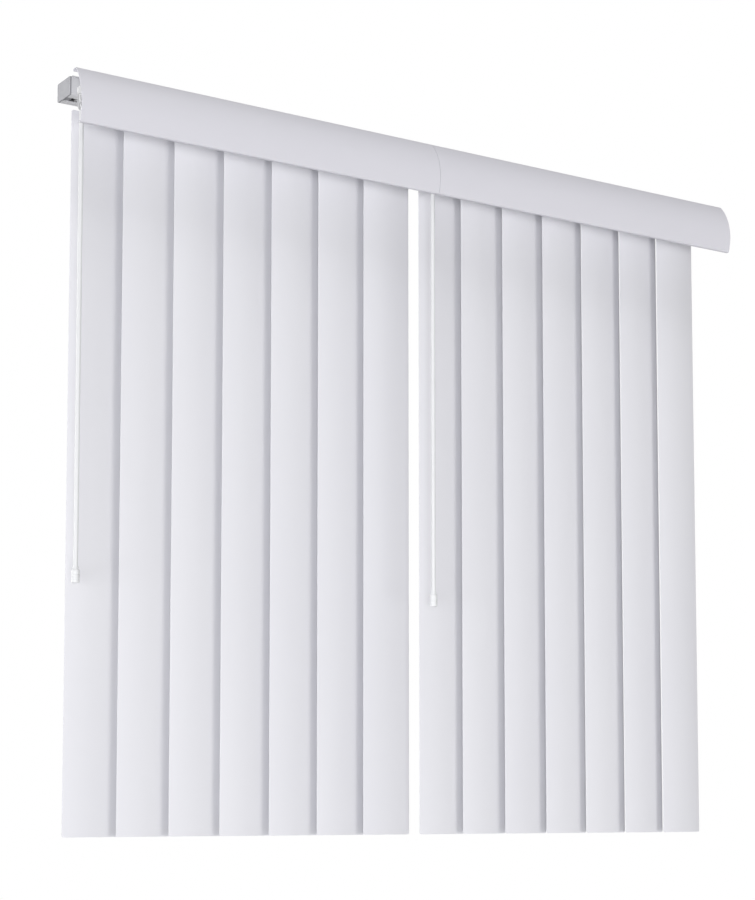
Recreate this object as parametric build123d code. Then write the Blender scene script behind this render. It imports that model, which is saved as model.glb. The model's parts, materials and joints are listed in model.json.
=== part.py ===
from build123d import *
import math
import os

# Vertical blind in two sections on one headrail, in millimetres.
# The origin is the middle of the flat top of the mounting brackets.
# +X runs along the headrail, +Y points into the window, +Z is up.

# Vanes
vanes_per_section = 7
vane_width = 88.9
vane_pitch = 76.2
vane_thickness = 0.7
vane_bow_radius = 285.0
vane_top_drop = 45.0
vane_bottom_drop = 1000.0
vane_corner_radius = 3.0
closed_angle = 10.0
section_gap = 8.0
stacked_pitch = 20.0
slot_length = 13.0
slot_height = 3.2
slot_margin = 7.0

# Headrail
rail_drop = 6.0
rail_depth = 40.0
rail_height = 25.0
rail_wall = 1.2
rail_corner = 2.2
rail_lip = 2.5
rail_slot = 14.0
rail_side_cover = 10.25
end_cap_plate = 2.0
plug_length = 8.0
plug_wall = 2.0
bearing_length = 12.0
fit_gap = 0.15

# Tilt rods, one for each section
rod_radius = 2.4
rod_offset = 8.6
rod_drop = 20.0
rod_gap = 2.0
rod_bore_gap = 0.08

# Carriers that run inside the headrail
carrier_length = 15.0
carrier_depth = 26.8
carrier_headroom = 4.4
carrier_floor_gap = 1.2
carrier_corner = 1.5
wheel_radius = 3.6
wheel_width = 3.0
wheel_side_gap = 1.2
wheel_floor_gap = 0.1
axle_radius = 1.3
neck_radius = 5.2
neck_drop = 2.0
anchor_length = 9.0
anchor_width = 3.0

# Worm and gear inside each carrier
gear_teeth = 9
gear_root_radius = 3.5
gear_tip_radius = 4.5
gear_thickness = 6.0
gear_room = 0.3
worm_radius = 3.7
worm_sleeve_radius = 3.2
worm_room = 0.3
worm_length = 10.4
worm_ridge = 1.0
worm_ridge_count = 2

# Spacer strips on top of the carriers
strip_lane = 2.0
strip_thickness = 0.8
strip_height = 3.0
strip_lift = 0.4
strip_root = 6.0
catch_thickness = 1.5
catch_width = 0.6
catch_gap = 0.3

# Hook clips that hold the vanes
stem_radius = 2.8
stem_fit = 0.08
collar_radius = 4.2
collar_height = 2.5
collar_above_vane = 3.0
prong_width = 11.0
prong_tip_width = 7.0
prong_thickness = 1.2
prong_gap = 1.1
prong_below_slot = 3.0
lug_width = 4.0
lug_height = 2.4
lug_seat_gap = 0.15

# Wand drive on the first carrier of each section
wand_beside_vane = 7.2
wand_front_offset = 50.5
gearbox_length = 26.5
gearbox_neck_length = 14.0
arm_thickness = 8.0
arm_root_radius = 7.0
arm_boss_radius = 6.0
arm_rail_gap = 1.0
spindle_radius = 2.5
spindle_head_radius = 4.0
spindle_head_height = 2.0
spindle_collar_height = 2.0
spindle_end_gap = 0.2
eye_thickness = 2.4
eye_radius = 3.0
eye_hole_radius = 1.5
eye_drop = 5.0

# Wands
hook_wire_radius = 0.9
hook_half_width = 3.6
hook_bend_radius = 1.7
hook_tail = 6.0
hook_neck = 10.0
hook_seat = 8.0
hook_hang_gap = 0.1
hook_seat_gap = 0.05
wand_radius = 3.0
wand_length = 614.0
grip_radius = 5.2
grip_length = 17.5
grip_neck_radius = 3.9
grip_neck_length = 4.0
grip_chamfer = 1.0
grip_socket = 15.0
grip_seat_gap = 0.05

# Valance
valance_overhang = 13.75
valance_drop = 3.0
valance_height = 77.4
valance_front = 66.0
valance_bow_radius = 76.0
valance_belly_drop = 52.6
valance_thickness = 1.3
valance_seam = 0.5
valance_top_hem = 8.0
valance_bottom_hem = 6.0
hem_lip = 2.0
clip_width = 12.0
clip_thickness = 1.8
clip_from_seam = 70.0
clip_beyond_bracket = 52.5
clips_per_valance = 3

# Mounting brackets
bracket_spacing = 440.0
bracket_width = 24.0
bracket_thickness = 1.5
bracket_hole_radius = 2.3
bracket_hole_spacing = 20.0
bracket_jaw_gap = 0.2

# Levels and stations worked out from the sizes above
half_cover = vane_width / 2 * math.cos(math.radians(closed_angle))
section_run = (vanes_per_section - 1) * vane_pitch
wand_side_offset = half_cover + wand_beside_vane
cover_half_length = section_gap / 2 + 2 * half_cover + section_run
valance_half_length = cover_half_length + valance_overhang
rail_half_length = cover_half_length + rail_side_cover - end_cap_plate
rail_top = -rail_drop
rail_bottom = rail_top - rail_height
rail_floor = rail_bottom + rail_wall
rail_ceiling = rail_top - rail_wall
carrier_top = rail_ceiling - carrier_headroom
carrier_bottom = rail_floor + carrier_floor_gap
wheel_axis = rail_floor + wheel_floor_gap + wheel_radius
neck_bottom = rail_bottom - neck_drop
gear_top = -rod_drop + gear_thickness / 2
gear_bottom = -rod_drop - gear_thickness / 2
bore_bottom = gear_bottom - gear_room
vane_top = -vane_top_drop
vane_length = vane_bottom_drop - vane_top_drop
slot_top = vane_top - slot_margin
slot_bottom = slot_top - slot_height
lug_top = slot_top - lug_seat_gap
prong_end = slot_bottom - prong_below_slot
collar_bottom = vane_top + collar_above_vane
collar_top = collar_bottom + collar_height
arm_top = rail_bottom - arm_rail_gap
arm_bottom = arm_top - arm_thickness
spindle_collar_top = arm_bottom - spindle_end_gap
spindle_collar_bottom = spindle_collar_top - spindle_collar_height
eye_level = spindle_collar_bottom - eye_drop
hook_level = eye_level - (eye_hole_radius - hook_wire_radius) + hook_hang_gap
hook_tail_level = hook_level - hook_tail
wand_top = hook_level - hook_neck - hook_half_width
wand_bottom = wand_top - wand_length
valance_top = -valance_drop
valance_bottom = valance_top - valance_height
belly_level = valance_top - valance_belly_drop
bow_centre_y = -(valance_front - valance_bow_radius)
section_sides = {"left": -1, "right": 1}


def first_stem(side):
    """X of the first vane's axis; each section's first vane is its left one."""
    if side == "left":
        return -section_gap / 2 - half_cover - section_run
    return section_gap / 2 + half_cover


def box_between(x0, x1, y0, y1, z0, z1):
    return Pos((x0 + x1) / 2, (y0 + y1) / 2, (z0 + z1) / 2) * Box(x1 - x0, y1 - y0, z1 - z0)


def disc(radius, z0, z1, x=0.0, y=0.0):
    return Pos(x, y, (z0 + z1) / 2) * Cylinder(radius, z1 - z0)


def bar_along_x(radius, x0, x1, y, z):
    return Pos((x0 + x1) / 2, y, z) * Rot(0, 90, 0) * Cylinder(radius, x1 - x0)


def bar_along_y(radius, y0, y1, x, z):
    return Pos(x, (y0 + y1) / 2, z) * Rot(90, 0, 0) * Cylinder(radius, y1 - y0)


def profile_along_x(sketch, x0, x1):
    """Extrude a section drawn with Y across and Z up, from x0 to x1."""
    return Pos(x0, 0, 0) * extrude(Plane.YZ * sketch, amount=x1 - x0)


def rectangle_between(a0, a1, b0, b1):
    return Pos((a0 + a1) / 2, (b0 + b1) / 2) * Rectangle(a1 - a0, b1 - b0)


# Vane: a bowed strip, convex towards the room, with a punched slot near its top

def vane():
    half_angle = math.asin(vane_width / 2 / vane_bow_radius)
    outer = vane_bow_radius + vane_thickness / 2
    inner = vane_bow_radius - vane_thickness / 2

    def on_arc(radius, angle):
        return (radius * math.sin(angle), vane_bow_radius - radius * math.cos(angle))

    room_side = ThreePointArc(on_arc(outer, -half_angle), on_arc(outer, 0), on_arc(outer, half_angle))
    window_side = ThreePointArc(on_arc(inner, half_angle), on_arc(inner, 0), on_arc(inner, -half_angle))
    right_edge = Line(room_side @ 1, window_side @ 0)
    left_edge = Line(window_side @ 1, room_side @ 0)
    section = make_face([room_side, right_edge, window_side, left_edge])
    strip = Pos(0, 0, vane_top - vane_length) * extrude(section, amount=vane_length)
    outline = RectangleRounded(vane_width, vane_length, vane_corner_radius)
    blank = extrude(Plane.XZ * outline, amount=vane_width / 2, both=True)
    strip = strip & Pos(0, 0, vane_top - vane_length / 2) * blank
    punched = extrude(Plane.XZ * SlotOverall(slot_length, slot_height), amount=vane_width / 4, both=True)
    return strip - Pos(0, 0, slot_top - slot_height / 2) * punched


# Hook clip: gear, shaft, collar and two prongs with a lug through the vane's slot

def gear_outline():
    points = []
    for tooth in range(gear_teeth):
        for step, radius in ((-0.3, gear_root_radius), (-0.14, gear_tip_radius),
                             (0.14, gear_tip_radius), (0.3, gear_root_radius)):
            angle = 2 * math.pi * (tooth + step) / gear_teeth
            points.append((radius * math.cos(angle), radius * math.sin(angle)))
    return make_face(Polyline(points, close=True))


def prong(face_side):
    """One leaf of the clip, drawn across the vane, tapering to its tip."""
    inner_face = face_side * prong_gap / 2
    outline = make_face(Polyline(
        [(-prong_width / 2, collar_bottom), (prong_width / 2, collar_bottom),
         (prong_width / 2, slot_bottom), (prong_tip_width / 2, prong_end),
         (-prong_tip_width / 2, prong_end), (-prong_width / 2, slot_bottom)], close=True))
    leaf = extrude(Plane.XZ * outline, amount=prong_thickness)
    shift = inner_face + (prong_thickness if face_side > 0 else 0)
    return Pos(0, shift, 0) * leaf


def hook_clip():
    gear = Pos(0, 0, gear_bottom) * extrude(gear_outline(), amount=gear_thickness)
    shaft = disc(stem_radius, collar_top, gear_bottom)
    collar = disc(collar_radius, collar_bottom, collar_top)
    lug = box_between(-lug_width / 2, lug_width / 2, -prong_gap / 2, prong_gap / 2 - fit_gap,
                      lug_top - lug_height, lug_top)
    bridge = box_between(-prong_width / 2, prong_width / 2,
                         -prong_gap / 2 - prong_thickness, prong_gap / 2 + prong_thickness,
                         vane_top + stem_fit, collar_bottom)
    bridge = bridge & disc(prong_width / 2, vane_top, collar_bottom)
    return gear + shaft + collar + bridge + prong(-1) + prong(1) + lug


# Carrier: housing on two wheels, a neck through the rail's slot, a bore for the
# hook clip, the worm sleeve round the rod, and a strip that sets the spacing

def strip_lane_y(index):
    return strip_lane * (index - vanes_per_section / 2 - 1)


def carrier_block(x0, x1):
    block = box_between(x0, x1, -carrier_depth / 2, carrier_depth / 2, carrier_bottom, carrier_top)
    return fillet(block.edges().filter_by(Axis.Z), carrier_corner)


def wheel_pair(x):
    reach = carrier_depth / 2 + wheel_side_gap
    pair = bar_along_y(axle_radius, -reach, reach, x, wheel_axis)
    for side in (-1, 1):
        inner = side * reach
        outer = side * (reach + wheel_width)
        pair += bar_along_y(wheel_radius, min(inner, outer), max(inner, outer), x, wheel_axis)
    return pair


def worm():
    """Sleeve and ridges round the rod, joined to the housing's end walls."""
    sleeve = bar_along_x(worm_sleeve_radius, -carrier_length / 2, carrier_length / 2, rod_offset, -rod_drop)
    tooth_pitch = 2 * math.pi * (gear_root_radius + gear_tip_radius) / 2 / gear_teeth
    for index in range(worm_ridge_count):
        x = (index - (worm_ridge_count - 1) / 2) * tooth_pitch
        sleeve += bar_along_x(worm_radius, x - worm_ridge / 2, x + worm_ridge / 2, rod_offset, -rod_drop)
    return sleeve


def spacer_strip(index):
    """Strip fixed on carrier number index, reaching back past the one before it."""
    y = strip_lane_y(index)
    low = carrier_top + strip_lift
    tip = -vane_pitch - catch_thickness / 2 - catch_gap - catch_thickness
    blade = box_between(tip, strip_root, y - strip_thickness / 2, y + strip_thickness / 2,
                        low, low + strip_height)
    root = box_between(-strip_root / 2, strip_root, y - strip_thickness / 2, y + strip_thickness / 2,
                       carrier_top, low + strip_height)
    barb_face = y - strip_lane / 2
    barb = box_between(tip, tip + catch_thickness, barb_face, y + strip_thickness / 2,
                       low, low + strip_height)
    return blade + root + barb


def strip_catch(index):
    """Post on carrier number index that stops the next carrier's barb."""
    y = strip_lane_y(index + 1) - strip_lane / 2
    return box_between(-catch_thickness / 2, catch_thickness / 2, y - catch_width / 2,
                       y + catch_width / 2, carrier_top, carrier_top + strip_lift + strip_height)


def wand_arm():
    """Gearbox ahead of the first vane, with the arm that carries the wand's spindle."""
    start = -carrier_length / 2 - gearbox_length
    box = box_between(start, -carrier_length / 2 + carrier_corner,
                      -carrier_depth / 2, carrier_depth / 2, carrier_bottom, carrier_top)
    box = fillet(box.edges().filter_by(Axis.Z).group_by(Axis.X)[0], carrier_corner)
    neck_centre = start + gearbox_neck_length / 2 + carrier_corner
    neck = box_between(neck_centre - gearbox_neck_length / 2, neck_centre + gearbox_neck_length / 2,
                       -neck_radius, neck_radius, arm_top, carrier_bottom)
    root_circle = Pos(neck_centre, 0) * Circle(arm_root_radius)
    boss_circle = Pos(-wand_side_offset, -wand_front_offset) * Circle(arm_boss_radius)
    plan = make_hull([*root_circle.edges(), *boss_circle.edges()])
    arm = Pos(0, 0, arm_bottom) * extrude(plan, amount=arm_thickness)
    arm = fillet(arm.edges().group_by(Axis.Z)[0], carrier_corner)
    return box + neck + arm + wheel_pair(neck_centre)


def carrier(index):
    half = carrier_length / 2
    body = carrier_block(-half, half)
    neck = disc(neck_radius, neck_bottom, carrier_bottom)
    body += neck + wheel_pair(0)
    if index == 1:
        body += wand_arm()
    gear_space = disc(gear_tip_radius + gear_room, bore_bottom, gear_top + gear_room)
    shaft_space = disc(stem_radius + stem_fit, neck_bottom, bore_bottom)
    worm_space = bar_along_x(worm_radius + worm_room, -worm_length / 2, worm_length / 2,
                             rod_offset, -rod_drop)
    mesh_window = box_between(-gear_root_radius, gear_root_radius, 0, rod_offset,
                              bore_bottom, gear_top + gear_room)
    body = body - gear_space - shaft_space - worm_space - mesh_window + worm()
    bore_start = -half - (gearbox_length if index == 1 else 0)
    body -= bar_along_x(rod_radius + rod_bore_gap, bore_start, half, rod_offset, -rod_drop)
    if index == 1:
        body -= disc(spindle_radius + stem_fit, arm_bottom, arm_top, -wand_side_offset, -wand_front_offset)
    if index > 1:
        body += spacer_strip(index)
    if index < vanes_per_section:
        body += strip_catch(index)
    else:
        body += rail_anchor()
    return body


def rail_anchor():
    """Two lugs on the last carrier that wedge it under the rail's top."""
    lugs = None
    for side in (-1, 1):
        outer = side * carrier_depth / 2
        inner = side * (carrier_depth / 2 - anchor_width)
        lug = box_between(-anchor_length / 2, anchor_length / 2, min(inner, outer), max(inner, outer),
                          carrier_top, rail_ceiling - wheel_floor_gap)
        lugs = lug if lugs is None else lugs + lug
    return lugs


# Headrail and what closes it

def headrail():
    middle = (rail_top + rail_bottom) / 2
    outer = Pos(0, middle) * RectangleRounded(rail_depth, rail_height, rail_corner)
    inner = Pos(0, middle) * RectangleRounded(rail_depth - 2 * rail_wall, rail_height - 2 * rail_wall,
                                              rail_corner - rail_wall)
    lips = rectangle_between(-rail_depth / 2 - rail_lip, rail_depth / 2 + rail_lip, rail_ceiling, rail_top)
    slot = rectangle_between(-rail_slot / 2, rail_slot / 2, rail_bottom, rail_floor)
    return profile_along_x(outer + lips - inner - slot, -rail_half_length, rail_half_length)


def rail_plug(x0, x1):
    """Block that fills the rail's inside, with a pocket beside the rod's bore."""
    low = rail_floor + fit_gap
    high = rail_ceiling - fit_gap
    half = rail_depth / 2 - rail_wall - fit_gap
    block = box_between(x0, x1, -half, half, low, high)
    block = fillet(block.edges().filter_by(Axis.X), rail_corner - rail_wall)
    pocket_edge = rod_offset - rod_radius - plug_wall
    pocket = box_between(x0, x1, -half + plug_wall, pocket_edge, low + plug_wall, high - plug_wall)
    return block - pocket


def end_cap(side_sign):
    inner_end = rail_half_length - plug_length
    middle = (rail_top + rail_bottom) / 2
    plate = profile_along_x(Pos(0, middle) * RectangleRounded(rail_depth, rail_height, rail_corner),
                            rail_half_length, rail_half_length + end_cap_plate)
    cap = plate + rail_plug(inner_end, rail_half_length)
    cap -= bar_along_x(rod_radius + rod_bore_gap, inner_end, rail_half_length, rod_offset, -rod_drop)
    if side_sign < 0:
        return mirror(cap, about=Plane.YZ)
    return cap


def rod_bearing():
    block = rail_plug(-bearing_length / 2, bearing_length / 2)
    return block - bar_along_x(rod_radius + rod_bore_gap, -bearing_length / 2, bearing_length / 2,
                               rod_offset, -rod_drop)


def tilt_rod(side_sign):
    near = rod_gap / 2
    far = rail_half_length - fit_gap
    start = min(side_sign * near, side_sign * far)
    section = Pos(rod_offset, -rod_drop) * RegularPolygon(rod_radius, 6)
    return profile_along_x(section, start, start + far - near)


# Valance: a curved cover with hems, in two lengths that meet in the middle

def bow_point(radius, level):
    """Y on the valance's curve of this radius at a level Z."""
    return bow_centre_y - math.sqrt(radius ** 2 - (level - belly_level) ** 2)


def curved_band(outer_radius, inner_radius, top, bottom):
    """Band between two arcs that share the valance's centre, from top to bottom."""
    front = ThreePointArc((bow_point(outer_radius, top), top),
                          (bow_point(outer_radius, belly_level), belly_level),
                          (bow_point(outer_radius, bottom), bottom))
    back = ThreePointArc((bow_point(inner_radius, bottom), bottom),
                         (bow_point(inner_radius, belly_level), belly_level),
                         (bow_point(inner_radius, top), top))
    return make_face([front, Line(front @ 1, back @ 0), back, Line(back @ 1, front @ 0)])


def valance(side_sign):
    wall = valance_thickness
    back_radius = valance_bow_radius - wall
    band = curved_band(valance_bow_radius, back_radius, valance_top, valance_bottom)
    top_y = bow_point(valance_bow_radius, valance_top)
    bottom_y = bow_point(valance_bow_radius, valance_bottom)
    top_hem = rectangle_between(top_y, top_y + valance_top_hem, valance_top - wall, valance_top)
    top_lip = rectangle_between(top_y + valance_top_hem - wall, top_y + valance_top_hem,
                                valance_top - wall - hem_lip, valance_top)
    bottom_hem = rectangle_between(bottom_y, bottom_y + valance_bottom_hem,
                                   valance_bottom, valance_bottom + wall)
    bottom_lip = rectangle_between(bottom_y + valance_bottom_hem - wall, bottom_y + valance_bottom_hem,
                                   valance_bottom, valance_bottom + wall + hem_lip)
    section = band + top_hem + top_lip + bottom_hem + bottom_lip
    ends = sorted((side_sign * valance_seam / 2, side_sign * valance_half_length))
    return profile_along_x(section, ends[0], ends[1])


def clip_section():
    """Clip from the rail's front lip to the valance, hugging its back."""
    lip_y = -rail_depth / 2 - rail_lip
    grip_y = lip_y - fit_gap - clip_thickness
    over = rectangle_between(grip_y, -rail_depth / 2 + rail_lip, rail_top + fit_gap,
                             rail_top + fit_gap + clip_thickness)
    face = rectangle_between(grip_y, lip_y - fit_gap, rail_ceiling - fit_gap - clip_thickness,
                             rail_top + fit_gap + clip_thickness)
    under = rectangle_between(grip_y, -rail_depth / 2 - fit_gap,
                              rail_ceiling - fit_gap - clip_thickness, rail_ceiling - fit_gap)
    arm_high = valance_top - valance_thickness - hem_lip - fit_gap
    arm_low = arm_high - clip_thickness
    hug_outer = valance_bow_radius - valance_thickness - fit_gap
    hug_inner = hug_outer - clip_thickness
    arm_front = bow_point(hug_inner, arm_low)
    arm = rectangle_between(arm_front, grip_y + clip_thickness, arm_low, arm_high)
    hug_bottom = valance_bottom + valance_thickness + fit_gap
    hug = curved_band(hug_outer, hug_inner, arm_high, hug_bottom)
    hem_inner = bow_point(valance_bow_radius, valance_top) + valance_top_hem - valance_thickness
    tongue = rectangle_between(hem_inner - fit_gap - clip_thickness, hem_inner - fit_gap, arm_low,
                               valance_top - valance_thickness - fit_gap)
    return over + face + under + arm + hug + tongue


def valance_clips():
    section = clip_section()
    clips = []
    last_clip = bracket_spacing + clip_beyond_bracket
    step = (last_clip - clip_from_seam) / (clips_per_valance - 1)
    for side_sign in (-1, 1):
        for index in range(clips_per_valance):
            x = side_sign * (clip_from_seam + index * step)
            clips.append(profile_along_x(section, x - clip_width / 2, x + clip_width / 2))
    return Compound(children=clips)


# Mounting brackets: a plate with two legs that hook under the rail's lips

def bracket(x):
    half_width = rail_depth / 2 + rail_lip + fit_gap + bracket_thickness
    jaw_top = rail_ceiling - bracket_jaw_gap
    jaw_bottom = jaw_top - bracket_thickness
    section = rectangle_between(-half_width, half_width, -bracket_thickness, 0)
    for side in (-1, 1):
        outer = side * half_width
        leg_inner = side * (half_width - bracket_thickness)
        jaw_inner = side * (rail_depth / 2 + fit_gap)
        section += rectangle_between(min(outer, leg_inner), max(outer, leg_inner), jaw_bottom, 0)
        section += rectangle_between(min(outer, jaw_inner), max(outer, jaw_inner), jaw_bottom, jaw_top)
    body = profile_along_x(section, x - bracket_width / 2, x + bracket_width / 2)
    for side in (-1, 1):
        body -= disc(bracket_hole_radius, -bracket_thickness, 0, x, side * bracket_hole_spacing / 2)
    return body


def mounting_brackets():
    return Compound(children=[bracket(x) for x in (-bracket_spacing, 0, bracket_spacing)])


# Wand: spindle in the arm, wire hook, rod and grip

def spindle():
    head = disc(spindle_head_radius, arm_top + spindle_end_gap, arm_top + spindle_end_gap + spindle_head_height)
    shaft = disc(spindle_radius, spindle_collar_top, arm_top + spindle_end_gap)
    collar = disc(spindle_head_radius, spindle_collar_bottom, spindle_collar_top)
    web = box_between(-eye_radius, eye_radius, -eye_thickness / 2, eye_thickness / 2,
                      eye_level, spindle_collar_bottom)
    ring = bar_along_y(eye_radius, -eye_thickness / 2, eye_thickness / 2, 0, eye_level)
    hole = bar_along_y(eye_hole_radius, -eye_thickness / 2, eye_thickness / 2, 0, eye_level)
    return head + shaft + collar + web + ring - hole


def wand_hook():
    low = wand_top - hook_seat
    route = [(0, 0, low), (0, 0, wand_top + hook_neck / 2),
             (0, hook_half_width, wand_top + hook_neck), (0, hook_half_width, hook_level),
             (0, -hook_half_width, hook_level), (0, -hook_half_width, hook_tail_level)]
    path = FilletPolyline(*route, radius=hook_bend_radius)
    return sweep(Pos(0, 0, low) * Circle(hook_wire_radius), path=path)


def wand_rod():
    rod = disc(wand_radius, wand_bottom, wand_top)
    rod = chamfer(rod.edges().group_by(Axis.Z)[-1], wand_radius / 4)
    return rod - disc(hook_wire_radius + hook_seat_gap, wand_top - hook_seat - fit_gap, wand_top)


def wand_grip():
    top = wand_bottom + grip_socket
    body = disc(grip_radius, top - grip_length, top)
    body = chamfer(body.edges().filter_by(GeomType.CIRCLE), grip_chamfer)
    neck = disc(grip_neck_radius, top, top + grip_neck_length)
    return body + neck - disc(wand_radius + grip_seat_gap, wand_bottom - fit_gap, top + grip_neck_length)


# Write every piece as its own file

os.makedirs("parts", exist_ok=True)


def write(name, shape):
    export_step(shape, f"parts/{name}.step")


write("headrail", headrail())
write("mounting_brackets", mounting_brackets())
write("rod_bearing", rod_bearing())
write("valance_clips", valance_clips())

one_vane = vane()
one_hook_clip = hook_clip()
for side, side_sign in section_sides.items():
    write(f"end_cap_{side}", end_cap(side_sign))
    write(f"tilt_rod_{side}", tilt_rod(side_sign))
    write(f"valance_{side}", valance(side_sign))
    start = first_stem(side)
    at_wand = Pos(start - wand_side_offset, -wand_front_offset, 0)
    write(f"wand_spindle_{side}", at_wand * spindle())
    write(f"wand_hook_{side}", at_wand * wand_hook())
    write(f"wand_rod_{side}", at_wand * wand_rod())
    write(f"wand_grip_{side}", at_wand * wand_grip())
    for index in range(1, vanes_per_section + 1):
        at_stem = Pos(start + (index - 1) * vane_pitch, 0, 0)
        closed = Rot(0, 0, closed_angle)
        write(f"carrier_{side}_{index}", at_stem * carrier(index))
        write(f"stem_{side}_{index}", at_stem * closed * one_hook_clip)
        write(f"vane_{side}_{index}", at_stem * closed * one_vane)
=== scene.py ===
import bpy
import bmesh
import json
import math
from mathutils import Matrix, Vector


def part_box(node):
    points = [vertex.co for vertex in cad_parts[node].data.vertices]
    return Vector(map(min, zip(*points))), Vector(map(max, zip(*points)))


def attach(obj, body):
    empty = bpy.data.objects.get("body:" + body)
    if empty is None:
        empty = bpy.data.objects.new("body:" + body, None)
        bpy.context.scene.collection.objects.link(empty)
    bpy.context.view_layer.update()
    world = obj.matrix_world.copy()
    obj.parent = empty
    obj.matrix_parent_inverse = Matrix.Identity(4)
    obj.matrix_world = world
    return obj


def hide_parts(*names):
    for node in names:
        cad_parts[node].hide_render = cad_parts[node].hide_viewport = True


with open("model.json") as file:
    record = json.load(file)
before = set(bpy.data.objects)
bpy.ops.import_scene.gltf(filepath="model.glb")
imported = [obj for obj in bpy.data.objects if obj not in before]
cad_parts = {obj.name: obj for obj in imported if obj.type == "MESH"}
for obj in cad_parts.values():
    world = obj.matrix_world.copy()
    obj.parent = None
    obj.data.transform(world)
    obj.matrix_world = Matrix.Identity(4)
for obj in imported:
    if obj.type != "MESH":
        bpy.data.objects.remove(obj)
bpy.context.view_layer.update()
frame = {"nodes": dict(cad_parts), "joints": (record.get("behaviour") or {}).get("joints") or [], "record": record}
hingePlaces = {joint["name"]: Vector(joint["pos_m"]) for joint in frame["joints"] if "pos_m" in joint}
mm = 0.001  # the blind's sizes below are in millimetres, the stage's in metres
sides = {"left": -1, "right": 1}
vaneCount = 7


# Helpers for material and geometry nodes

def treeTools(tree):
    def add(kind, inputs=None, output=0, **settings):
        node = tree.nodes.new(kind)
        for key, value in settings.items():
            setattr(node, key, value)
        for key, value in (inputs or {}).items():
            if isinstance(value, bpy.types.NodeSocket):
                tree.links.new(value, node.inputs[key])
            else:
                node.inputs[key].default_value = value
        return node.outputs[output]

    def maths(operation, *values):
        return add("ShaderNodeMath", dict(enumerate(values)), operation=operation)

    return add, maths


def nodeTree(name, inputs):
    tree = bpy.data.node_groups.new(name, "GeometryNodeTree")
    for way in ("INPUT", "OUTPUT"):
        tree.interface.new_socket("Geometry", in_out=way, socket_type="NodeSocketGeometry")
    for label, kind in inputs.items():
        tree.interface.new_socket(label, in_out="INPUT", socket_type="NodeSocket" + kind)
    source = tree.nodes.new("NodeGroupInput")
    sink = tree.nodes.new("NodeGroupOutput")
    return tree, source.outputs, sink.inputs


def evaluateTree(tree, values, name):
    holder = bpy.data.objects.new(name + "Holder", bpy.data.meshes.new(name + "Holder"))
    bpy.context.scene.collection.objects.link(holder)
    modifier = holder.modifiers.new("nodes", "NODES")
    modifier.node_group = tree
    for item in tree.interface.items_tree:
        if item.in_out == "INPUT" and item.name in values:
            modifier[item.identifier] = values[item.name]
    graph = bpy.context.evaluated_depsgraph_get()
    mesh = bpy.data.meshes.new_from_object(holder.evaluated_get(graph))
    holder.modifiers.clear()
    bpy.data.objects.remove(holder)
    mesh.name = name
    return mesh


# Shared finishes: plainFinish gives what a finish doesn't set itself

plainFinish = {
    "metallic": 0.0, "ior": 1.46, "specular": 0.5, "coat": 0.0, "coatRoughness": 0.2, "anisotropy": 0.0,
    "transmission": 0.0,
    "cloudScale": 9.0, "cloudStretch": (1, 1, 1), "cloudDetail": 3.0, "cloudRoughness": 0.55,
    "patchScale": 60.0, "patchStretch": (1, 1, 1), "patchDetail": 4.0, "patchRoughness": 0.55,
    "grainStretch": (1, 1, 1), "grainDetail": 5.0, "grainRoughness": 0.6,
    "noiseLow": 0.3, "noiseHigh": 0.7, "bumpStrength": 0.2, "bumpDepth": 0.05}
shaderSockets = {
    "Metallic": "metallic", "IOR": "ior", "Specular IOR Level": "specular", "Coat Weight": "coat",
    "Coat Roughness": "coatRoughness", "Anisotropic": "anisotropy", "Transmission Weight": "transmission"}


def surface(name, ownLook):
    look = {**plainFinish, **ownLook}
    material = bpy.data.materials.new(name)
    material.use_nodes = True
    tree = material.node_tree
    add, maths = treeTools(tree)
    shader = tree.nodes["Principled BSDF"].inputs
    for socket, key in shaderSockets.items():
        shader[socket].default_value = look[key]
    place = add("ShaderNodeTexCoord", output="Object")

    def noise(layer):
        mapping = add("ShaderNodeMapping", {"Vector": place, "Scale": look[layer + "Stretch"]})
        return add("ShaderNodeTexNoise", {
            "Vector": mapping, "Scale": look[layer + "Scale"], "Detail": look[layer + "Detail"],
            "Roughness": look[layer + "Roughness"]}, "Fac")

    def spread(source, low, high):
        return add("ShaderNodeMapRange", {
            "Value": source, "From Min": look["noiseLow"], "From Max": look["noiseHigh"], "To Min": low,
            "To Max": high}, "Result")

    # colour drifts slowly over the piece
    tint = add("ShaderNodeMix", {
        "Factor": spread(noise("cloud"), 0.0, 1.0), "A": (*look["colour"], 1), "B": (*look["shade"], 1)},
        "Result", data_type="RGBA")
    tree.links.new(tint, shader["Base Color"])

    # gloss varies a little more finely
    tree.links.new(spread(noise("patch"), *look["roughness"]), shader["Roughness"])

    # fine surface grain
    bump = add("ShaderNodeBump", {
        "Height": noise("grain"), "Strength": look["bumpStrength"], "Distance": look["bumpDepth"] * mm},
        "Normal")
    tree.links.new(bump, shader["Normal"])
    return material


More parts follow.
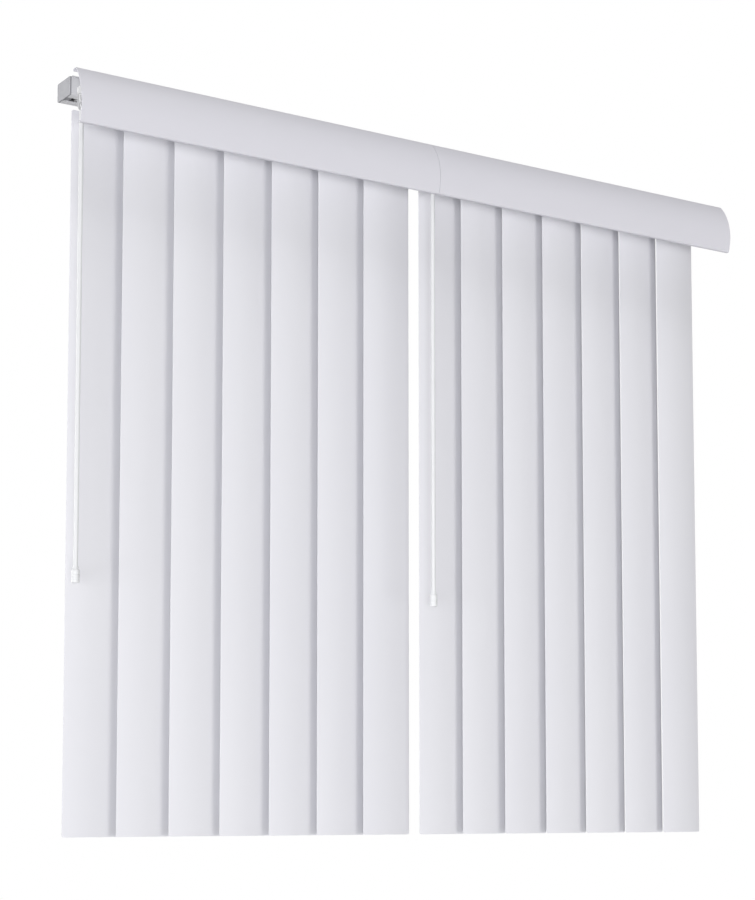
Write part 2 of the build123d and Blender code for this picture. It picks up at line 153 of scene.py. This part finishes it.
finishes = {  # one for each of the record's material slots
    "vane": surface("vanePvc", {
        "colour": (0.795, 0.794, 0.828), "shade": (0.765, 0.764, 0.804), "roughness": (0.62, 0.72),
        "specular": 0.2, "cloudScale": 4.0, "cloudStretch": (1, 1, 0.25), "patchStretch": (1, 1, 0.1),
        "grainScale": 900.0, "grainStretch": (1, 1, 0.02), "bumpDepth": 0.04, "bumpStrength": 0.15}),
    "valance": surface("valancePvc", {
        "colour": (0.665, 0.658, 0.700), "shade": (0.640, 0.634, 0.680), "roughness": (0.52, 0.62),
        "specular": 0.3, "cloudScale": 5.0, "cloudStretch": (0.3, 1, 1), "patchStretch": (0.1, 1, 1),
        "grainScale": 900.0, "grainStretch": (0.02, 1, 1), "bumpDepth": 0.04, "bumpStrength": 0.15}),
    "rail": surface("paintedRail", {
        "colour": (0.64, 0.64, 0.66), "shade": (0.60, 0.60, 0.62), "roughness": (0.32, 0.42),
        "grainScale": 1400.0, "bumpDepth": 0.03, "bumpStrength": 0.25, "coat": 0.15}),
    "end_cap": surface("greyEndCap", {
        "colour": (0.30, 0.30, 0.32), "shade": (0.25, 0.25, 0.27), "roughness": (0.45, 0.6),
        "grainScale": 1800.0, "bumpDepth": 0.05, "bumpStrength": 0.35}),
    "bracket": surface("zincBracket", {
        "colour": (0.58, 0.58, 0.59), "shade": (0.48, 0.49, 0.51), "roughness": (0.28, 0.45),
        "metallic": 1.0, "cloudScale": 80.0, "grainScale": 700.0, "bumpDepth": 0.03}),
    "clip": surface("clearClip", {
        "colour": (0.84, 0.85, 0.86), "shade": (0.80, 0.81, 0.83), "roughness": (0.12, 0.22),
        "transmission": 0.35, "grainScale": 500.0, "bumpDepth": 0.02}),
    "rod": surface("millAluminium", {
        "colour": (0.66, 0.67, 0.68), "shade": (0.58, 0.59, 0.60), "roughness": (0.28, 0.4),
        "metallic": 1.0, "anisotropy": 0.4, "grainScale": 600.0, "grainStretch": (0.03, 1, 1),
        "bumpDepth": 0.02}),
    "carrier": surface("mouldedAcetal", {
        "colour": (0.62, 0.62, 0.62), "shade": (0.58, 0.58, 0.59), "roughness": (0.3, 0.42),
        "grainScale": 1500.0, "bumpDepth": 0.03}),
    "stem": surface("stemPlastic", {
        "colour": (0.76, 0.77, 0.78), "shade": (0.72, 0.73, 0.75), "roughness": (0.2, 0.32),
        "transmission": 0.25, "grainScale": 1200.0, "bumpDepth": 0.02}),
    "wand": surface("wandPlastic", {
        "colour": (0.735, 0.74, 0.75), "shade": (0.705, 0.71, 0.72), "roughness": (0.35, 0.45),
        "coat": 0.1, "grainScale": 900.0, "grainStretch": (1, 1, 0.05), "bumpDepth": 0.03}),
    "wire": surface("platedWire", {
        "colour": (0.62, 0.62, 0.63), "shade": (0.52, 0.52, 0.54), "roughness": (0.15, 0.28),
        "metallic": 1.0, "grainScale": 900.0, "bumpDepth": 0.02}),
}
for part in frame["record"]["subparts"]:
    mesh = frame["nodes"][part["node"]].data
    mesh.materials.clear()
    mesh.materials.append(finishes[part["material_slot"]])
print("finishes made:", len(finishes))


# Helpers for plain meshes

def newPiece(mesh, finish):
    piece = bpy.data.objects.new(mesh.name, mesh)
    bpy.context.scene.collection.objects.link(piece)
    if not mesh.materials:
        mesh.materials.append(finishes[finish])
    return piece


def softenEdges(piece, look):
    bevel = piece.modifiers.new("softEdges", "BEVEL")
    bevel.width = look["softWidth"] * mm
    bevel.segments = look["softSteps"]
    bevel.limit_method = "ANGLE"
    bevel.angle_limit = math.radians(look["softDegrees"])


def meshFrom(builder, name, look):
    bmesh.ops.recalc_face_normals(builder, faces=builder.faces)
    mesh = bpy.data.meshes.new(name)
    builder.to_mesh(mesh)
    builder.free()
    for face in mesh.polygons:
        face.use_smooth = True
    mesh.set_sharp_from_angle(angle=math.radians(look["sharpDegrees"]))
    return mesh


# Vanes: bowed strips with rounded corners and a punched slot

vaneLook = {
    "width": 88.9, "length": 955.0, "thickness": 0.7, "bowRadius": 285.0, "cornerRadius": 3.0,
    "topLevel": -45.0, "slotLevel": -53.6, "slotLength": 13.0, "slotHeight": 3.2, "ripple": 0.06,
    "rippleScale": 1.6, "closedDegrees": 10.0, "columns": 41, "rows": 65,
    "firstSeed": 3, "vaneSeed": 1.7, "sideSeed": 5.3}
vaneLengths = ("width", "length", "thickness", "bowRadius", "cornerRadius", "topLevel", "slotLevel",
               "slotLength", "slotHeight", "ripple")
weldDistance = 0.01 * mm
punchDepth = 10 * mm
straightShare = 0.8  # of the grid's rows, the others make the rounded corners
slotRound = 0.4999  # of the slot's height, for half-round ends
slotSteps = 6
creaseAngle = 0.6  # radians, a steeper edge is shaded sharp


def buildVaneTree():
    tree, given, result = nodeTree("bowedVane", {
        **dict.fromkeys(vaneLengths, "Float"), "rippleScale": "Float", "closedAngle": "Float",
        "stemPlace": "Float", "seed": "Float", "columns": "Int", "rows": "Int", "finish": "Material"})
    add, maths = treeTools(tree)

    def solidFrom(sheet, depth):
        raised = add("GeometryNodeExtrudeMesh", {"Mesh": sheet, "Offset Scale": depth, "Individual": False},
                     mode="FACES")
        flipped = add("GeometryNodeFlipFaces", {"Mesh": sheet})
        both = add("GeometryNodeJoinGeometry")
        tree.links.new(raised, both.node.inputs[0])
        tree.links.new(flipped, both.node.inputs[0])
        return add("GeometryNodeMergeByDistance", {"Geometry": both, "Distance": weldDistance})

    # a flat grid takes the vane's outline
    grid = add("GeometryNodeMeshGrid", {"Size X": 1.0, "Size Y": 1.0, "Vertices X": given["columns"],
                                        "Vertices Y": given["rows"]})
    place = add("ShaderNodeSeparateXYZ", {0: add("GeometryNodeInputPosition")}).node.outputs
    across, along = place[0], place[1]
    radius = given["cornerRadius"]
    reach = maths("MULTIPLY", maths("ABSOLUTE", along), 2.0)
    halfLength = maths("MULTIPLY", given["length"], 0.5)
    straight = add("ShaderNodeMapRange", {"Value": reach, "From Min": 0.0, "From Max": straightShare,
                                          "To Min": 0.0, "To Max": maths("SUBTRACT", halfLength, radius)})
    corner = add("ShaderNodeMapRange", {"Value": reach, "From Min": straightShare, "From Max": 1.0,
                                        "To Min": 0.0, "To Max": radius})
    height = maths("MULTIPLY", maths("SIGN", along), maths("ADD", straight, corner))
    inner = maths("SUBTRACT", maths("MULTIPLY", radius, radius), maths("MULTIPLY", corner, corner))
    inset = maths("SUBTRACT", radius, maths("SQRT", maths("MAXIMUM", inner, 0.0)))
    halfWidth = maths("SUBTRACT", maths("MULTIPLY", given["width"], 0.5), inset)
    sideways = maths("MULTIPLY", maths("MULTIPLY", across, 2.0), halfWidth)

    # the bow, with the least ripple, as in any long extruded strip
    bow = given["bowRadius"]
    chord = maths("SUBTRACT", maths("MULTIPLY", bow, bow), maths("MULTIPLY", sideways, sideways))
    depth = maths("SUBTRACT", bow, maths("SQRT", chord))
    drift = add("ShaderNodeTexNoise", {"Scale": given["rippleScale"], "Detail": 1.0, "W": given["seed"]},
                noise_dimensions="4D")
    ripple = maths("MULTIPLY", maths("SUBTRACT", drift, 0.5), given["ripple"])
    middle = maths("SUBTRACT", given["topLevel"], halfLength)
    target = add("ShaderNodeCombineXYZ", {0: sideways, 1: maths("ADD", depth, ripple),
                                          2: maths("ADD", height, middle)})
    sheet = add("GeometryNodeSetPosition", {"Geometry": grid, "Position": target})

    # the wall, half of it on each side of the sheet
    back = maths("MULTIPLY", given["thickness"], -0.5)
    shift = add("ShaderNodeVectorMath", {0: add("GeometryNodeInputNormal"), "Scale": back},
                operation="SCALE")
    rear = add("GeometryNodeSetPosition", {"Geometry": sheet, "Offset": shift})
    solid = solidFrom(rear, given["thickness"])

    # the punched slot
    outline = add("GeometryNodeCurvePrimitiveQuadrilateral", {"Width": given["slotLength"],
                                                             "Height": given["slotHeight"]})
    rounded = add("GeometryNodeFilletCurve", {
        "Curve": outline, "Count": slotSteps, "Radius": maths("MULTIPLY", given["slotHeight"], slotRound)},
        mode="POLY")
    punch = solidFrom(add("GeometryNodeFillCurve", {"Curve": rounded}, mode="NGONS"), punchDepth)
    punchPlace = add("ShaderNodeCombineXYZ", {0: 0.0, 1: punchDepth / 2, 2: given["slotLevel"]})
    punchSet = add("GeometryNodeTransform", {"Geometry": punch, "Translation": punchPlace,
                                             "Rotation": (math.pi / 2, 0.0, 0.0)})
    holed = add("GeometryNodeMeshBoolean", {0: solid, 1: punchSet}, operation="DIFFERENCE", solver="EXACT")

    # shaded smooth between its edges, hung at its stem and turned
    smooth = add("GeometryNodeSetShadeSmooth", {"Geometry": holed, "Shade Smooth": True}, domain="FACE")
    sharp = maths("GREATER_THAN", add("GeometryNodeInputMeshEdgeAngle"), creaseAngle)
    edged = add("GeometryNodeSetShadeSmooth", {"Geometry": smooth, "Selection": sharp,
                                               "Shade Smooth": False}, domain="EDGE")
    stand = add("ShaderNodeCombineXYZ", {0: given["stemPlace"]})
    turn = add("ShaderNodeCombineXYZ", {2: given["closedAngle"]})
    placed = add("GeometryNodeTransform", {"Geometry": edged, "Translation": stand, "Rotation": turn})
    real = add("GeometryNodeRealizeInstances", {"Geometry": placed})
    finished = add("GeometryNodeSetMaterial", {"Geometry": real, "Material": given["finish"]})
    tree.links.new(finished, result[0])
    return tree


def vaneValues(look, side, index):
    return {
        **{name: look[name] * mm for name in vaneLengths}, "rippleScale": look["rippleScale"],
        "closedAngle": math.radians(look["closedDegrees"]),
        "stemPlace": hingePlaces[f"tilt_{side}_{index}"].x,
        "seed": look["firstSeed"] + index * look["vaneSeed"] + sides[side] * look["sideSeed"],
        "columns": look["columns"], "rows": look["rows"], "finish": finishes["vane"]}


vaneTree = buildVaneTree()
for side in sides:
    for index in range(1, vaneCount + 1):
        mesh = evaluateTree(vaneTree, vaneValues(vaneLook, side, index), f"bowedVane{side.title()}{index}")
        piece = newPiece(mesh, "vane")
        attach(piece, f"vane_{side}_{index}")
        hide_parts(f"vane_{side}_{index}")
print("vanes made:", vaneCount * len(sides))


# Valance: a bent sheet profile, thickened and run along the headrail

valanceLook = {
    "wall": 1.3, "front": 66.0, "bowRadius": 76.0, "top": -3.0, "height": 77.4, "bellyDrop": 52.6,
    "topHem": 8.0, "bottomHem": 6.0, "lip": 2.0, "steps": 40,
    "bend": 0.9, "bendSteps": 5, "bendShare": 0.45, "leastTurn": 0.3,  # leastTurn is in radians
    "softWidth": 0.2, "softSteps": 2, "softDegrees": 50, "sharpDegrees": 40}


def valanceSheet(look):
    centreY = look["bowRadius"] - look["front"]
    belly = look["top"] - look["bellyDrop"]
    bottom = look["top"] - look["height"]
    half = look["wall"] / 2

    def arcY(level, size):
        return centreY - math.sqrt(size ** 2 - (level - belly) ** 2)

    topHemY = arcY(look["top"], look["bowRadius"]) + look["topHem"] - half
    bottomHemY = arcY(bottom, look["bowRadius"]) + look["bottomHem"] - half
    levels = [look["top"] - half - (look["height"] - look["wall"]) * step / look["steps"]
              for step in range(look["steps"] + 1)]
    path = [(topHemY, look["top"] - look["wall"] - look["lip"]), (topHemY, look["top"] - half),
            *((arcY(level, look["bowRadius"] - half), level) for level in levels),
            (bottomHemY, bottom + half), (bottomHemY, bottom + look["wall"] + look["lip"])]
    return [Vector(point) for point in path]


def roundCorners(path, look):
    rounded = [path[0]]
    for before, here, after in zip(path, path[1:], path[2:]):
        toBefore = before - here
        toAfter = after - here
        turn = math.pi - toBefore.angle(toAfter)
        if turn < look["leastTurn"]:
            rounded.append(here)
            continue
        longest = min(toBefore.length, toAfter.length) * look["bendShare"]
        cut = min(look["bend"] * math.tan(turn / 2), longest)
        start = here + toBefore.normalized() * cut
        end = here + toAfter.normalized() * cut
        for step in range(look["bendSteps"] + 1):
            t = step / look["bendSteps"]
            rounded.append(start * (1 - t) ** 2 + here * 2 * t * (1 - t) + end * t ** 2)
    rounded.append(path[-1])
    return rounded


def thicken(path, wall):
    front, back = [], []
    for index, point in enumerate(path):
        before = path[max(index - 1, 0)]
        after = path[min(index + 1, len(path) - 1)]
        along = (after - before).normalized()
        across = Vector((-along.y, along.x)) * wall / 2
        front.append(point + across)
        back.append(point - across)
    return front + back[::-1]


def runAlong(name, outline, start, end, look):
    builder = bmesh.new()
    rings = []
    for x in (start, end):
        rings.append([builder.verts.new((x * mm, point.x * mm, point.y * mm)) for point in outline])
    first, last = rings
    count = len(outline)
    for index in range(count):
        after = (index + 1) % count
        builder.faces.new((first[index], first[after], last[after], last[index]))
    for ring in rings:  # each end is a strip of small faces, so the thin curve fills cleanly
        for index in range(count // 2 - 1):
            opposite = count - 1 - index
            builder.faces.new((ring[index], ring[index + 1], ring[opposite - 1], ring[opposite]))
    return meshFrom(builder, name, look)


valanceOutline = thicken(roundCorners(valanceSheet(valanceLook), valanceLook), valanceLook["wall"])
for side in sides:
    low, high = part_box(f"valance_{side}")
    mesh = runAlong(f"curvedValance{side.title()}", valanceOutline, low.x / mm, high.x / mm, valanceLook)
    piece = newPiece(mesh, "valance")
    softenEdges(piece, valanceLook)
    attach(piece, "headrail")
    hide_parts(f"valance_{side}")
print("valances made")


# Wands: turned rods and grips, where a rounding lists steps in from the side and from the end

wandLook = {
    "rodRadius": 3.0, "top": -61.3, "bottom": -675.3, "seatRadius": 0.95, "seatDepth": 8.15,
    "rodRounding": ((0.75, 0.0), (0.22, 0.2), (0.0, 0.75)), "rodChamfer": 0.3,
    "gripRadius": 5.2, "gripLength": 17.5, "gripSocket": 15.0,
    "gripRounding": ((1.0, 0.0), (0.25, 0.75), (0.0, 1.3)),
    "fingerGrooves": 3, "fingerStart": 4.5, "fingerPitch": 3.2, "fingerHeight": 1.2, "fingerDepth": 0.28,
    "grooveRadius": 3.45, "grooveHeight": 1.4, "grooveStep": 0.1,
    "neckRadius": 3.9, "neckLength": 4.0, "neckChamfer": 0.2, "neckRounding": ((0.15, 0.4), (0.35, 0.0)),
    "socketRadius": 3.05, "socketPlay": 0.15, "sides": 48, "sharpDegrees": 32}


def rodProfile(look):
    top, bottom, wide = look["top"], look["bottom"], look["rodRadius"]
    seat = top - look["seatDepth"]
    return [(0, seat), (look["seatRadius"], seat), (look["seatRadius"], top),
            *((wide - inset, top - drop) for inset, drop in look["rodRounding"]),
            (wide, bottom + look["rodChamfer"]), (wide - look["rodChamfer"], bottom), (0, bottom)]


def gripProfile(look):
    top = look["bottom"] + look["gripSocket"]
    low = top - look["gripLength"]
    neckLow = top + look["grooveHeight"]
    neckTop = top + look["neckLength"]
    socketEnd = look["bottom"] - look["socketPlay"]
    wide = look["gripRadius"]
    half = look["fingerHeight"] / 2
    profile = [(0, low)]
    profile += [(wide - inset, low + rise) for inset, rise in look["gripRounding"]]
    for step in range(look["fingerGrooves"]):
        level = low + look["fingerStart"] + step * look["fingerPitch"]
        profile += [(wide, level - half), (wide - look["fingerDepth"], level), (wide, level + half)]
    profile += [(wide - inset, top - drop) for inset, drop in reversed(look["gripRounding"])]
    profile += [(look["grooveRadius"], top + look["grooveStep"]), (look["grooveRadius"], neckLow),
                (look["neckRadius"], neckLow + look["neckChamfer"])]
    profile += [(look["neckRadius"] - inset, neckTop - drop) for inset, drop in look["neckRounding"]]
    profile += [(look["socketRadius"], neckTop), (look["socketRadius"], socketEnd), (0, socketEnd)]
    return profile


def turned(name, profile, centre, look):
    builder = bmesh.new()
    count = look["sides"]
    rings = []
    for radius, level in profile:
        angles = [2 * math.pi * step / count for step in range(count if radius else 1)]
        rings.append([builder.verts.new((centre.x + radius * mm * math.cos(angle),
                                         centre.y + radius * mm * math.sin(angle),
                                         level * mm)) for angle in angles])
    for first, second in zip(rings, rings[1:]):
        for step in range(count):
            after = (step + 1) % count
            corners = [first[step % len(first)], first[after % len(first)],
                       second[after % len(second)], second[step % len(second)]]
            builder.faces.new(list(dict.fromkeys(corners)))
    return newPiece(meshFrom(builder, name, look), "wand")


for side in sides:
    hinge = hingePlaces[f"wand_swing_{side}"]
    rod = turned(f"wandRod{side.title()}", rodProfile(wandLook), hinge, wandLook)
    grip = turned(f"wandGrip{side.title()}", gripProfile(wandLook), hinge, wandLook)
    for piece, node in ((rod, "wand_rod"), (grip, "wand_grip")):
        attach(piece, f"wand_{side}")
        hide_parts(f"{node}_{side}")
print("wands made")


# Floor, light and camera

floorLook = {
    "level": -2.3, "radius": 4.5, "sides": 96, "colour": (0.86, 0.86, 0.86), "roughness": 0.8,
    "paleness": 0.6, "fadeStart": 0.3, "fadeEnd": 0.95}  # the fade's ends are shares of the radius
lampAim = (0, 0, -0.5)
lampLook = {
    "key": {"place": (-6.3, -5.2, -2.0), "width": 9.0, "height": 2.4, "power": 690.0,
            "colour": (0.985, 0.99, 1.0)},
    "fill": {"place": (2.1, -4.1, -1.7), "width": 3.6, "height": 1.2, "power": 60.0,
             "colour": (1.0, 0.99, 0.98)},
    "top": {"place": (0.1, -1.3, 3.2), "width": 2.6, "height": 2.0, "power": 46.0,
            "colour": (1.0, 1.0, 1.0)},
    "back": {"place": (-2.8, 3.0, 0.4), "width": 2.4, "height": 2.4, "power": 70.0,
             "colour": (1.0, 1.0, 1.0)},
}
worldLook = {"ambient": 0.13, "colour": (0.98, 0.98, 1.0)}
cameraLook = {
    "place": (-1.6106, -2.3750, -0.9607), "turn": 33.046, "lean": 5.049, "lens": 80.0, "sensor": 36.0,
    "shift": 0.20, "nearest": 0.05, "furthest": 60.0}


def addLamp(name, look):
    lamp = bpy.data.lights.new(name, "AREA")
    lamp.shape = "RECTANGLE"
    lamp.size = look["width"]
    lamp.size_y = look["height"]
    lamp.energy = look["power"]
    lamp.color = look["colour"]
    holder = bpy.data.objects.new(name, lamp)
    bpy.context.scene.collection.objects.link(holder)
    holder.location = look["place"]
    aim = Vector(lampAim) - Vector(look["place"])
    holder.rotation_euler = aim.to_track_quat("-Z", "Y").to_euler()


def seenDirectly(tree):
    add, maths = treeTools(tree)
    path = add("ShaderNodeLightPath").node.outputs
    seen = maths("MAXIMUM", path["Is Camera Ray"], path["Is Glossy Ray"])
    return maths("MAXIMUM", seen, path["Is Transmission Ray"])


def setWorld(look):
    world = bpy.data.worlds.new("studio")
    bpy.context.scene.world = world
    world.use_nodes = True
    tree = world.node_tree
    tree.nodes.clear()
    add, maths = treeTools(tree)
    ambient = add("ShaderNodeBackground", {"Color": (*look["colour"], 1), "Strength": look["ambient"]})
    white = add("ShaderNodeBackground", {"Color": (1, 1, 1, 1), "Strength": 1.0})
    mixed = add("ShaderNodeMixShader", {0: seenDirectly(tree), 1: ambient, 2: white})
    tree.links.new(mixed, tree.nodes.new("ShaderNodeOutputWorld").inputs["Surface"])


def paleFloor(look):
    material = bpy.data.materials.new("paleFloor")
    material.use_nodes = True
    tree = material.node_tree
    add, maths = treeTools(tree)
    shader = tree.nodes["Principled BSDF"]
    shader.inputs["Base Color"].default_value = (*look["colour"], 1)
    shader.inputs["Roughness"].default_value = look["roughness"]
    away = add("ShaderNodeVectorMath", {0: add("ShaderNodeTexCoord", output="Object")}, "Value",
               operation="LENGTH")
    fade = add("ShaderNodeMapRange", {
        "Value": away, "From Min": look["radius"] * look["fadeStart"],
        "From Max": look["radius"] * look["fadeEnd"], "To Min": look["paleness"]},
        interpolation_type="SMOOTHSTEP")
    seen = maths("MULTIPLY", fade, seenDirectly(tree))
    white = add("ShaderNodeEmission")
    mixed = add("ShaderNodeMixShader", {0: seen, 1: shader.outputs[0], 2: white})
    tree.links.new(mixed, tree.nodes["Material Output"].inputs["Surface"])
    return material


def addFloor(look):
    builder = bmesh.new()
    bmesh.ops.create_circle(builder, cap_ends=True, segments=look["sides"], radius=look["radius"])
    mesh = bpy.data.meshes.new("floor")
    builder.to_mesh(mesh)
    builder.free()
    mesh.materials.append(paleFloor(look))
    floor = bpy.data.objects.new("floor", mesh)
    bpy.context.scene.collection.objects.link(floor)
    floor.location = (0, 0, look["level"])


def setCamera(look):
    camera = bpy.data.cameras.new("photoCamera")
    camera.lens = look["lens"]
    camera.sensor_width = look["sensor"]
    camera.shift_y = look["shift"]
    camera.clip_start = look["nearest"]
    camera.clip_end = look["furthest"]
    holder = bpy.data.objects.new("photoCamera", camera)
    bpy.context.scene.collection.objects.link(holder)
    holder.location = look["place"]
    holder.rotation_euler = (math.radians(90 + look["lean"]), 0, -math.radians(look["turn"]))
    bpy.context.scene.camera = holder


for lampName, look in lampLook.items():
    addLamp(lampName + "Lamp", look)
setWorld(worldLook)
addFloor(floorLook)
setCamera(cameraLook)
bpy.context.scene.view_settings.view_transform = "Standard"
print("stage, lamps and camera set")
